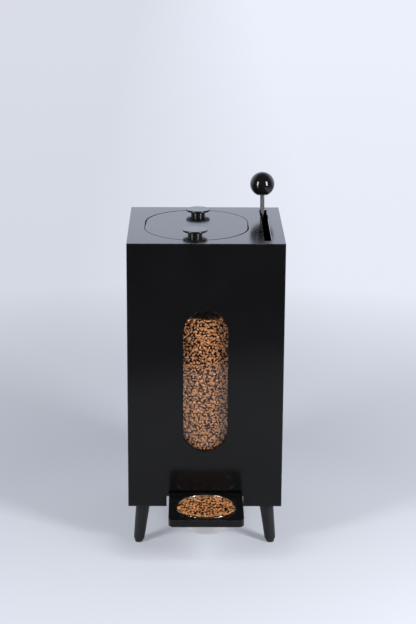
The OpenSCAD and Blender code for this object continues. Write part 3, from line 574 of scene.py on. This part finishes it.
def pellet_points(count, bar, rng):
    """Points of closed pellets, shaped (pellet, point, axis): rings from low to high, then both
    poles. In plan a pellet is a circle whose radius is divided by 1 + corner * cos(3 * angle),
    drawn out to its length and width. Each ring is that plan times cos(tilt) ** PELLET_ROUNDING
    at the height sin(tilt). The pellet's middle is pushed aside by bend times the square of the
    place along it. A cupped pellet has both poles drawn in to near its middle."""
    kind = rng.random(count)
    is_bar, is_cupped, is_wedge = (
        (low <= kind) & (kind < high) for low, high in (BARS, CUPS, WEDGES))
    long = bar * np.where(is_bar, rng.uniform(0.85, 1.12, count), rng.uniform(0.68, 0.86, count))
    wide = np.where(is_bar, bar * rng.uniform(0.37, 0.46, count),
                    long * rng.uniform(0.8, 1.0, count))
    thick = bar * rng.uniform(0.34, 0.42, count)
    corner = np.where(is_wedge, rng.uniform(0.2, 0.3, count), 0.0)
    bend = np.where(is_bar, rng.uniform(-0.35, 0.35, count), 0.0)
    angle = np.linspace(0, 2 * math.pi, PELLET_SIDES, endpoint=False)
    plan = 1 / (1 + corner[:, None] * np.cos(3 * angle))
    lumps = 1 + rng.uniform(-0.07, 0.07, (count, len(PELLET_TILTS), PELLET_SIDES))
    reach = plan[:, None] * np.cos(PELLET_TILTS)[:, None] ** PELLET_ROUNDING * lumps
    x = reach * np.cos(angle) * long[:, None, None] / 2
    y = reach * np.sin(angle) * wide[:, None, None] / 2
    y = y + bend[:, None, None] * (x ** 2 / (long[:, None, None] / 2) - long[:, None, None] / 6)
    z = np.sin(PELLET_TILTS)[:, None] * thick[:, None, None] / 2 + 0 * x
    rings = np.stack([x, y, z], -1).reshape(count, -1, 3)
    pole = np.zeros((count, 1, 3))
    pole[:, 0, 1] = -bend * long / 6
    pole[:, 0, 2] = thick * np.where(is_cupped, 0.06, 0.5)
    return np.concatenate([rings, pole * (1, 1, -1), pole], 1)


def pellet_faces(count):
    """Faces of the pellets: quads between rings, and a fan at each pole."""
    rings = len(PELLET_TILTS)
    side = np.arange(PELLET_SIDES)
    after = (side + 1) % PELLET_SIDES
    last, low = (rings - 1) * PELLET_SIDES, rings * PELLET_SIDES
    quads = grid_faces(rings, PELLET_SIDES, wrap=True)
    fans = np.concatenate([
        np.stack([np.full(PELLET_SIDES, low), after, side], -1),
        np.stack([np.full(PELLET_SIDES, low + 1), last + side, last + after], -1)])
    start = np.arange(count)[:, None, None] * (low + 2)
    return (quads + start).reshape(-1, 4).tolist() + (fans + start).reshape(-1, 3).tolist()


def tumbled(count, normal, lean, rng):
    """Rotations that spin each pellet about the normal and then lean it by a random angle."""
    spin, way = rng.uniform(0, 2 * math.pi, (2, count))
    tilt = np.abs(rng.normal(0, lean, count))
    c, s, zero, one = np.cos(spin), np.sin(spin), np.zeros(count), np.ones(count)
    turn = np.stack([c, -s, zero, s, c, zero, zero, zero, one], -1).reshape(-1, 3, 3)
    ax, ay, ct, st = np.cos(way), np.sin(way), np.cos(tilt), np.sin(tilt)
    fall = np.stack([ct + ax * ax * (1 - ct), ax * ay * (1 - ct), ay * st,
                     ax * ay * (1 - ct), ct + ay * ay * (1 - ct), -ax * st,
                     -ay * st, ax * st, ct], -1).reshape(-1, 3, 3)
    right = np.array([1.0, 0.0, 0.0])
    basis = np.stack([right, np.cross(normal, right), normal], -1)
    return basis @ fall @ turn


def pellet_layer(places, normal, lean, food, rng, pale=0.55):
    """Points of a layer of pellets whose outermost points along the normal are at the places, and
    the tone of each point."""
    count = len(places)
    points = pellet_points(count, food.bar, rng)
    points = np.einsum("nij,npj->npi", tumbled(count, normal, lean, rng), points)
    outer = (points @ normal).max(1)
    points += places[:, None] - outer[:, None, None] * normal
    tones = np.clip(rng.normal(pale, 0.24, count), 0, 1)
    return points, np.repeat(tones[:, None], points.shape[1], 1)


def own_depth(points, normal):
    """How far each point lies behind its own pellet's outermost point along the normal."""
    along = points @ normal
    return along.max(1, keepdims=True) - along


def drawn_in(points, centre, reach):
    """Pellets moved towards an upright axis until no point of one lies beyond the reach."""
    off = points[..., :2] - centre
    away = np.hypot(off[..., 0], off[..., 1])
    farthest = np.take_along_axis(off, away.argmax(1)[:, None, None], 1)
    excess = np.maximum(1 - reach / away.max(1), 0)[:, None, None]
    return points - np.pad(farthest * excess, ((0, 0), (0, 0), (0, 1)))


def settled(points, centre, wall, rim, rim_z):
    """Pellets moved in until they clear the wall, or up onto the rim where they stand proud."""
    away = np.hypot(*np.moveaxis(points[..., :2] - centre, -1, 0)).max(1)
    low, high = points[..., 2].min(1), points[..., 2].max(1)
    proud = (away > wall) & (high > rim_z + RIM_PROUD)
    lift = np.where(proud, np.maximum(rim_z + RIM_GAP - low, 0), 0)
    raised = points + lift[:, None, None] * UP
    return drawn_in(raised, centre, np.where(proud, rim, wall))


def clear_of(layer, height):
    """A layer without the pellets that stand above a height."""
    keep = layer[0][..., 2].max(1) < height
    return tuple(value[keep] for value in layer)


def pellet_piece(name, layers, material, body):
    """One piece from layers of points, tones and depths of pellets, riding on a body."""
    points, tone, depth = (np.concatenate(part) for part in zip(*layers))
    made = new_mesh(name, points.reshape(-1, 3), pellet_faces(len(points)), material,
                    tone=tone.reshape(-1), depth=depth.reshape(-1))
    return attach(made, body)


# Operators, one for each piece or group of like pieces

class FEEDER_OT_effects(bpy.types.Operator):
    """Makes the shader groups that the finishes share"""

    bl_idname = "feeder.effects"
    bl_label = "Make shared effects"

    def execute(self, context):
        for make in (make_film, make_edge_rub, make_dust, make_grain, make_turning, make_brushing):
            make()
        return {"FINISHED"}


class FEEDER_OT_cabinet(bpy.types.Operator):
    """Lacquers the cabinet's outer panels"""

    bl_idname = "feeder.cabinet"
    bl_label = "Lacquer the cabinet"

    def execute(self, context):
        looks = context.scene.feeder_finish
        dress(LACQUERED, make_lacquer("cabinet_lacquer", LACQUERED, looks))
        return {"FINISHED"}


class FEEDER_OT_inside(bpy.types.Operator):
    """Stains the boards inside, each with its grain along its longest side"""

    bl_idname = "feeder.inside"
    bl_label = "Stain the inner boards"

    def execute(self, context):
        looks = context.scene.feeder_finish
        stretches = np.where(np.eye(3), 0.07, 1.0)
        boards = [make_board("board_grain_" + axis, stretch, looks)
                  for axis, stretch in zip("xyz", stretches)]
        for name in INNER_BOARDS:
            low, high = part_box(name)
            dress([name], boards[int(np.argmax(high - low))])
        return {"FINISHED"}


class FEEDER_OT_legs(bpy.types.Operator):
    """Paints the turned legs and gives the foot pads and the lid's seal a rubber skin"""

    bl_idname = "feeder.legs"
    bl_label = "Paint the legs"

    def execute(self, context):
        looks = context.scene.feeder_finish
        dress(LEGS, make_leg_paint(looks))
        dress(("foot_pads", "lid_gasket"), make_rubber(looks))
        return {"FINISHED"}


class FEEDER_OT_window(bpy.types.Operator):
    """Makes the window pane clear acrylic"""

    bl_idname = "feeder.window"
    bl_label = "Clear the window"

    def execute(self, context):
        dress(("window_pane",), make_pane())
        return {"FINISHED"}


class FEEDER_OT_lid(bpy.types.Operator):
    """Lacquers the lid and polishes its two knobs"""

    bl_idname = "feeder.lid"
    bl_label = "Finish the lid"

    def execute(self, context):
        looks = context.scene.feeder_finish
        dress(("lid_board",), make_lacquer("lid_lacquer", ("lid_board",), looks))
        for name in ("knob_front", "knob_rear"):
            centre = box_of((name,))[0]
            gloss = make_moulded(name + "_gloss", centre, looks, roughness=0.25, top=0.15)
            dress((name,), gloss)
        return {"FINISHED"}


class FEEDER_OT_lever(bpy.types.Operator):
    """Finishes the lever's rod and ball, the fixings and drive, and the gate's sheet"""

    bl_idname = "feeder.lever"
    bl_label = "Finish the lever"

    def execute(self, context):
        looks = context.scene.feeder_finish
        dress(("lever_rod",), make_metal("rod_satin", looks.rod, 0.46, (1.0, 1.0, 6.0)))
        centre = box_of(("ball_knob",))[0]
        gloss = make_moulded("ball_gloss", centre, looks, roughness=0.035, top=0.035)
        dress(("ball_knob",), gloss)
        dress(FIXINGS, make_metal("zinc_plate", looks.zinc, 0.3, (1.0, 1.0, 1.0)))
        dress(("gate_plate", "gate_yoke"),
              make_metal("brushed_sheet", looks.sheet, 0.28, (1.0, 0.06, 1.0)))
        return {"FINISHED"}


class FEEDER_OT_tray(bpy.types.Operator):
    """Lacquers the tray and gives the bowl its spun steel"""

    bl_idname = "feeder.tray"
    bl_label = "Finish the tray and bowl"

    def execute(self, context):
        looks = context.scene.feeder_finish
        dress(("tray_board",), make_lacquer("tray_lacquer", ("tray_board",), looks))
        centre = box_of(("bowl",))[0]
        dress(("bowl",), make_metal("spun_steel", looks.steel, 0.13, (1.0, 1.0, 1.0),
                                    turned_at=centre, pitch=0.00022, strength=0.03))
        return {"FINISHED"}


class FEEDER_OT_hopper_food(bpy.types.Operator):
    """Fills the hopper with dry food: a packed bed dark with painted shade, loose layers at the
    pane, and a loose layer on top brightened as painted light
    """

    bl_idname = "feeder.hopper_food"
    bl_label = "Fill the hopper"

    def execute(self, context):
        food = context.scene.feeder_food
        rng = np.random.default_rng(food.seed)
        loose = make_food("kibble", food)
        # Painted shade: the packed bed is held at 0.12 of the pellets' light
        bed_in_painted_shade = make_food("kibble_bed_painted_shade", food, shade=0.12)
        # Painted light: the food that lies in shade gets brighter colours
        painted_bright = make_food("kibble_painted_bright", food, gain=PAINTED_LIGHT_GAIN)
        pane_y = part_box("window_pane")[1].y
        left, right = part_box("left_panel")[1].x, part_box("lever_divider")[0].x
        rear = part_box("back_panel")[0].y
        room, behind = 2 * MM, 15 * MM
        xs = np.linspace(left + room, right - room, 48)
        ys = np.linspace(pane_y + behind, rear - room, 56)
        x, y = np.meshgrid(xs, ys, indexing="ij")
        floors = [np.full_like(x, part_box("gate_plate")[1].z)]
        for name, run, axis, side in (("funnel_left", x, 0, -1), ("funnel_right", x, 0, 1),
                                      ("funnel_front", y, 1, -1), ("funnel_back", y, 1, 1)):
            low, high = np.array(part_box(name))
            start, end = (low[axis], high[axis])[::side]
            slope = (high[2] - low[2]) / (end - start)
            floors.append(low[2] + (run - start) * slope)
        under = np.max(floors, 0) + room

        def surface(x, y):
            """Level less dip * sin(pi * across) * sin(pi * along), with slow waves."""
            across, along = (x - left) / (right - left), (y - pane_y) / (rear - pane_y)
            sunk = food.dip * np.sin(math.pi * across) * np.sin(math.pi * along)
            return food.level - sunk + 2.5 * MM * np.sin(31 * x + 1) * np.cos(27 * y)

        over = np.maximum(surface(x, y) - 4 * MM, under + MM)
        bed = bed_between(np.stack([x, y, over], -1), np.stack([x, y, under], -1),
                          "hopper_food_bed", bed_in_painted_shade)
        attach(bed, "cabinet")

        layers = []
        for near, far, lean, pale, sunk in WINDOW_LAYERS:
            at = scattered((-WINDOW_HALF, WINDOW_FOOT), (WINDOW_HALF, food.level - 3 * MM),
                           food.spacing, rng)
            back = rng.uniform(near, far, len(at)) * MM
            places = np.stack([at[:, 0], pane_y + back, at[:, 1]], -1)
            points, tone = pellet_layer(places, FRONT, lean, food, rng, pale)
            # Painted shade: pellets set further back get a share of that distance as extra depth,
            # so are darker
            shade_depth = sunk * (back - PANE_GAP * MM)
            layers.append((points, tone, 1.25 * own_depth(points, FRONT) + shade_depth[:, None]))
        pellet_piece("hopper_food_front", layers, loose, "cabinet")

        edge = 6 * MM
        at = scattered((left + edge, pane_y + edge), (right - edge, rear - edge),
                       food.spacing, rng)
        places = np.stack([*at.T, surface(*at.T) + rng.uniform(-1.5, 1.5, len(at)) * MM], -1)
        points, tone = pellet_layer(places, UP, 0.5, food, rng)
        layers = [(points, tone, own_depth(points, UP))]
        pellet_piece("hopper_food_top", layers, painted_bright, "cabinet")
        return {"FINISHED"}


class FEEDER_OT_bowl_food(bpy.types.Operator):
    """Fills the bowl with dry food: a packed bed dark with painted shade, pellets heaped on it and
    some on the rim, brightened as painted light
    """

    bl_idname = "feeder.bowl_food"
    bl_label = "Fill the bowl"

    def execute(self, context):
        food = context.scene.feeder_food
        rng = np.random.default_rng(food.seed + 1)
        # The heap's food has painted light, and its bed painted shade
        loose, bed_in_painted_shade = (bpy.data.materials[name] for name in ("kibble_painted_bright", "kibble_bed_painted_shade"))
        low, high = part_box("bowl")
        centre = np.array([(low.x + high.x) / 2, (low.y + high.y) / 2])
        rim = high.x - centre[0]
        wall = rim - BOWL_LIP
        rise = food.bowl_heap
        slope = food.bowl_tilt * TILT_WAY
        sunk = food.bowl_level - food.bowl_tilt - 5.5 * MM
        across = np.linspace(0, wall, 9)
        dome = [(r, sunk + rise * (1 - (r / wall) ** 2)) for r in across]
        profile = dome + [(r, low.z + z) for r, z in BED_FOOT]
        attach(revolved(profile, 40, centre, "bowl_food_bed", bed_in_painted_shade), "bowl")

        # A dark layer below the heap and the heap itself: drop, reach and mean tone. The lower
        # layer's low tone and its drop, which counts as depth, are painted shade; the heap's high
        # tone is painted light
        layers = []
        for drop, reach, pale in ((6.5 * MM, wall - 4 * MM, 0.25), (0.0, rim - 4 * MM, 0.9)):
            at = scattered((-rim, -rim), (rim, rim), food.bowl_spacing, rng)
            at = at[np.hypot(*at.T) < reach]
            off = at / wall
            top = food.bowl_level - drop + rise * (1 - (off ** 2).sum(1)) + off @ slope
            back = rng.uniform(-1, 3.5, len(at)) * MM
            places = np.column_stack([at + centre, top - back])
            points, tone = pellet_layer(places, UP, 1.0, food, rng, pale)
            points = settled(points, centre, wall - 0.5 * MM - 0.3 * drop, rim - 0.5 * MM, high.z)
            # Depth for the painted shade: each pellet's own depth, a share of how far it sits
            # back, and the drop
            depth = drop + 1.3 * own_depth(points, UP) + 0.35 * back[:, None]
            layers.append((points, tone, depth))

        # Pellets on the front half of the rim, held in at its sides and where the panel passes
        turn = np.radians(np.arange(-168, -12, 3.6))
        turn += rng.uniform(-0.03, 0.03, len(turn))
        radius = rim - rng.uniform(-2, 3, len(turn)) * MM
        places = np.column_stack([radius * np.cos(turn) + centre[0],
                                  radius * np.sin(turn) + centre[1],
                                  np.full(len(turn), high.z + RIM_GAP)])
        # Painted light: the rim pellets' high mean tone
        points, tone = pellet_layer(places, -UP, 0.5, food, rng, 0.9)
        overhang = rim + (4.5 - 7.5 * np.cos(turn) ** 8) * MM
        to_panel = (rim + RIM_GAP) / np.abs(np.sin(turn))
        points = drawn_in(points, centre, np.minimum(overhang, to_panel))
        # Painted shade: a random extra depth darkens some rim pellets
        shade_depth = rng.uniform(0, 1.5, (len(turn), 1)) * MM
        layers.append((points, tone, own_depth(points, UP) + shade_depth))
        layers = [clear_of(layer, high.z + HEAP_LIMIT) for layer in layers]
        pellet_piece("bowl_food", layers, loose, "bowl")
        return {"FINISHED"}


class FEEDER_OT_studio(bpy.types.Operator):
    """Lays the floor, hangs the lights and sets the camera"""

    bl_idname = "feeder.studio"
    bl_label = "Set the studio"

    def execute(self, context):
        studio = context.scene.feeder_studio
        self.lay_floor(studio)
        self.light_room(context.scene, studio)
        for name, side, power in (("softbox_left", -1, studio.power_left),
                                  ("softbox_right", 1, studio.power_right)):
            place = (MIDDLE[0] + side * SOFTBOX_AWAY * math.sin(SOFTBOX_TURN),
                     MIDDLE[1] - SOFTBOX_AWAY * math.cos(SOFTBOX_TURN), SOFTBOX_HEIGHT)
            self.hang_light(name, power, (studio.softbox_w, studio.softbox_h), place,
                            (SOFTBOX_TIP, 0, side * SOFTBOX_TURN))
        self.place_camera(context.scene, studio)
        context.scene.view_settings.view_transform = "Standard"
        return {"FINISHED"}

    def lay_floor(self, studio):
        """A wide disc of rings whose radii grow by one ratio. Its paper glows to the camera, least
        round the cabinet, where the shadow lies. Mirrors see it glow behind the cabinet, and all
        other rays see it dark in front."""
        made, tree, shader, place = finish("pale_paper", IOR=1.3, Roughness=0.9)
        fibre = noise(tree, place, scale=400.0, detail=2.0)
        paper = tint(tree, ramp(tree, fibre, 0.3, 0.7, 0.0, 0.03), studio.floor, PAPER_FIBRE)
        part = parts(tree, place)
        away = vector(tree, "LENGTH", vector(tree, "SUBTRACT", place, MIDDLE))
        path = put(tree, "ShaderNodeLightPath").outputs
        seen = calc(tree, "MULTIPLY", ramp(tree, away, 0.6, 2.2, 0.28, 1.0), path["Is Camera Ray"])
        mirrored = calc(tree, "MULTIPLY", ramp(tree, part[1], 0.3, 3.0), path["Is Glossy Ray"])
        far = tint(tree, ramp(tree, away, 1.5, 8.0), studio.glow, studio.far_glow)
        # Painted light and shade on the floor: its glow is weaker on the left than on the right
        # out to 14 m, and even from 26 m
        side = ramp(tree, part[0], -0.5, 0.5, 0.93, 1.12)
        even = ramp(tree, away, 14.0, 26.0, side, 1.0)
        glow = put(tree, "ShaderNodeEmission", {"Color": far, "Strength": even})
        mixed = put(tree, "ShaderNodeMixShader", {
            0: calc(tree, "MAXIMUM", seen, mirrored),
            1: tree.nodes["Principled BSDF"].outputs[0], 2: glow.outputs[0]})
        tree.links.new(mixed.outputs[0], tree.nodes["Material Output"].inputs["Surface"])
        unseen = calc(tree, "SUBTRACT", 1.0, path["Is Camera Ray"])
        reach = calc(tree, "MULTIPLY_ADD", part[0], 0.5, part[1])
        front = calc(tree, "MAXIMUM", ramp(tree, reach, -1.3, -1.5),
                     ramp(tree, part[1], -0.15, -0.4, 0.0, 0.5))
        base = tint(tree, calc(tree, "MULTIPLY", front, unseen), paper, studio.room)
        feed(tree, shader, base, height=fibre, strength=0.02, distance=0.0002)
        radius = np.append(0.0, np.geomspace(FLOOR_FIRST, FLOOR_LAST, FLOOR_RINGS))
        turn = np.linspace(0, 2 * math.pi, FLOOR_SIDES, endpoint=False)
        points = np.stack([np.outer(radius, np.cos(turn)), np.outer(radius, np.sin(turn)),
                           np.full((len(radius), FLOOR_SIDES), -0.2 * MM)], -1).reshape(-1, 3)
        faces = grid_faces(len(radius), FLOOR_SIDES, wrap=True)[:, ::-1]
        new_mesh("studio_floor", points, faces.tolist(), made)

    def light_room(self, scene, studio):
        """World: a lit wall behind the cabinet, dark overhead and on the camera's side."""
        world = bpy.data.worlds.new("studio_room")
        world.use_nodes = True
        tree = world.node_tree
        way = put(tree, "ShaderNodeTexCoord").outputs["Generated"]
        part = parts(tree, way)
        wall = calc(tree, "MULTIPLY", ramp(tree, part[1], -0.1, 0.5),
                    ramp(tree, part[2], 0.85, 0.5, 0.15))
        shade = tint(tree, wall, studio.room, scaled(studio.backdrop, studio.backdrop_light))
        path = put(tree, "ShaderNodeLightPath").outputs
        soft = tint(tree, path["Is Diffuse Ray"], (1, 1, 1, 1), DIFFUSE_SHARE)
        lit = put(tree, "ShaderNodeMix", {0: 1.0, 6: shade, 7: soft}, data_type="RGBA",
                  blend_type="MULTIPLY")
        tree.links.new(tint(tree, path["Is Camera Ray"], lit.outputs[2], studio.far_glow),
                       tree.nodes["Background"].inputs["Color"])
        scene.world = world

    def hang_light(self, name, power, size, place, turn):
        """A rectangular lamp that the camera doesn't see."""
        lamp = bpy.data.lights.new(name, "AREA")
        lamp.shape = "RECTANGLE"
        lamp.size, lamp.size_y = size
        lamp.energy = power
        made = bpy.data.objects.new(name, lamp)
        made.location, made.rotation_euler = place, turn
        made.visible_camera = False
        bpy.context.scene.collection.objects.link(made)

    def place_camera(self, scene, studio):
        """The photograph's viewpoint: turned about the upright, tipped down and rolled."""
        lens = bpy.data.cameras.new("camera")
        lens.lens = studio.lens
        made = bpy.data.objects.new("camera", lens)
        made.location = CAMERA_PLACE
        made.rotation_mode = "QUATERNION"
        turn = Quaternion((0, 0, 1), CAMERA_TURN)
        tip = Quaternion((1, 0, 0), CAMERA_TIP)
        roll = Quaternion((0, 0, 1), CAMERA_ROLL)
        made.rotation_quaternion = turn @ tip @ roll
        scene.collection.objects.link(made)
        scene.camera = made


class FEEDER_PT_panel(bpy.types.Panel):
    """Lists the settings and the steps"""

    bl_idname = "FEEDER_PT_panel"
    bl_label = "Lever pet food cabinet"
    bl_space_type = "VIEW_3D"
    bl_region_type = "UI"
    bl_category = "Feeder"

    def draw(self, context):
        for label in ("feeder_finish", "feeder_food", "feeder_studio"):
            settings = getattr(context.scene, label)
            for key in settings.bl_rna.properties.keys():
                if key not in ("rna_type", "name"):
                    self.layout.prop(settings, key)
        for operator in OPERATORS:
            self.layout.operator(operator.bl_idname)


SETTINGS = {"feeder_finish": FinishSettings, "feeder_food": FoodSettings,
            "feeder_studio": StudioSettings}
OPERATORS = (
    FEEDER_OT_effects, FEEDER_OT_cabinet, FEEDER_OT_inside, FEEDER_OT_legs, FEEDER_OT_window,
    FEEDER_OT_lid, FEEDER_OT_lever, FEEDER_OT_tray, FEEDER_OT_hopper_food, FEEDER_OT_bowl_food,
    FEEDER_OT_studio,
)


def register():
    """Registers the settings, the steps and the panel."""
    for made in (*SETTINGS.values(), *OPERATORS, FEEDER_PT_panel):
        bpy.utils.register_class(made)
    for name, kind in SETTINGS.items():
        setattr(bpy.types.Scene, name, bpy.props.PointerProperty(type=kind))


def unregister():
    """Removes what register added."""
    for name in SETTINGS:
        delattr(bpy.types.Scene, name)
    for made in (FEEDER_PT_panel, *reversed(OPERATORS), *reversed(SETTINGS.values())):
        bpy.utils.unregister_class(made)


def main():
    """Runs every step in order."""
    register()
    for operator in OPERATORS:
        area, step = operator.bl_idname.split(".")
        getattr(getattr(bpy.ops, area), step)()


if __name__ == "__main__":
    main()
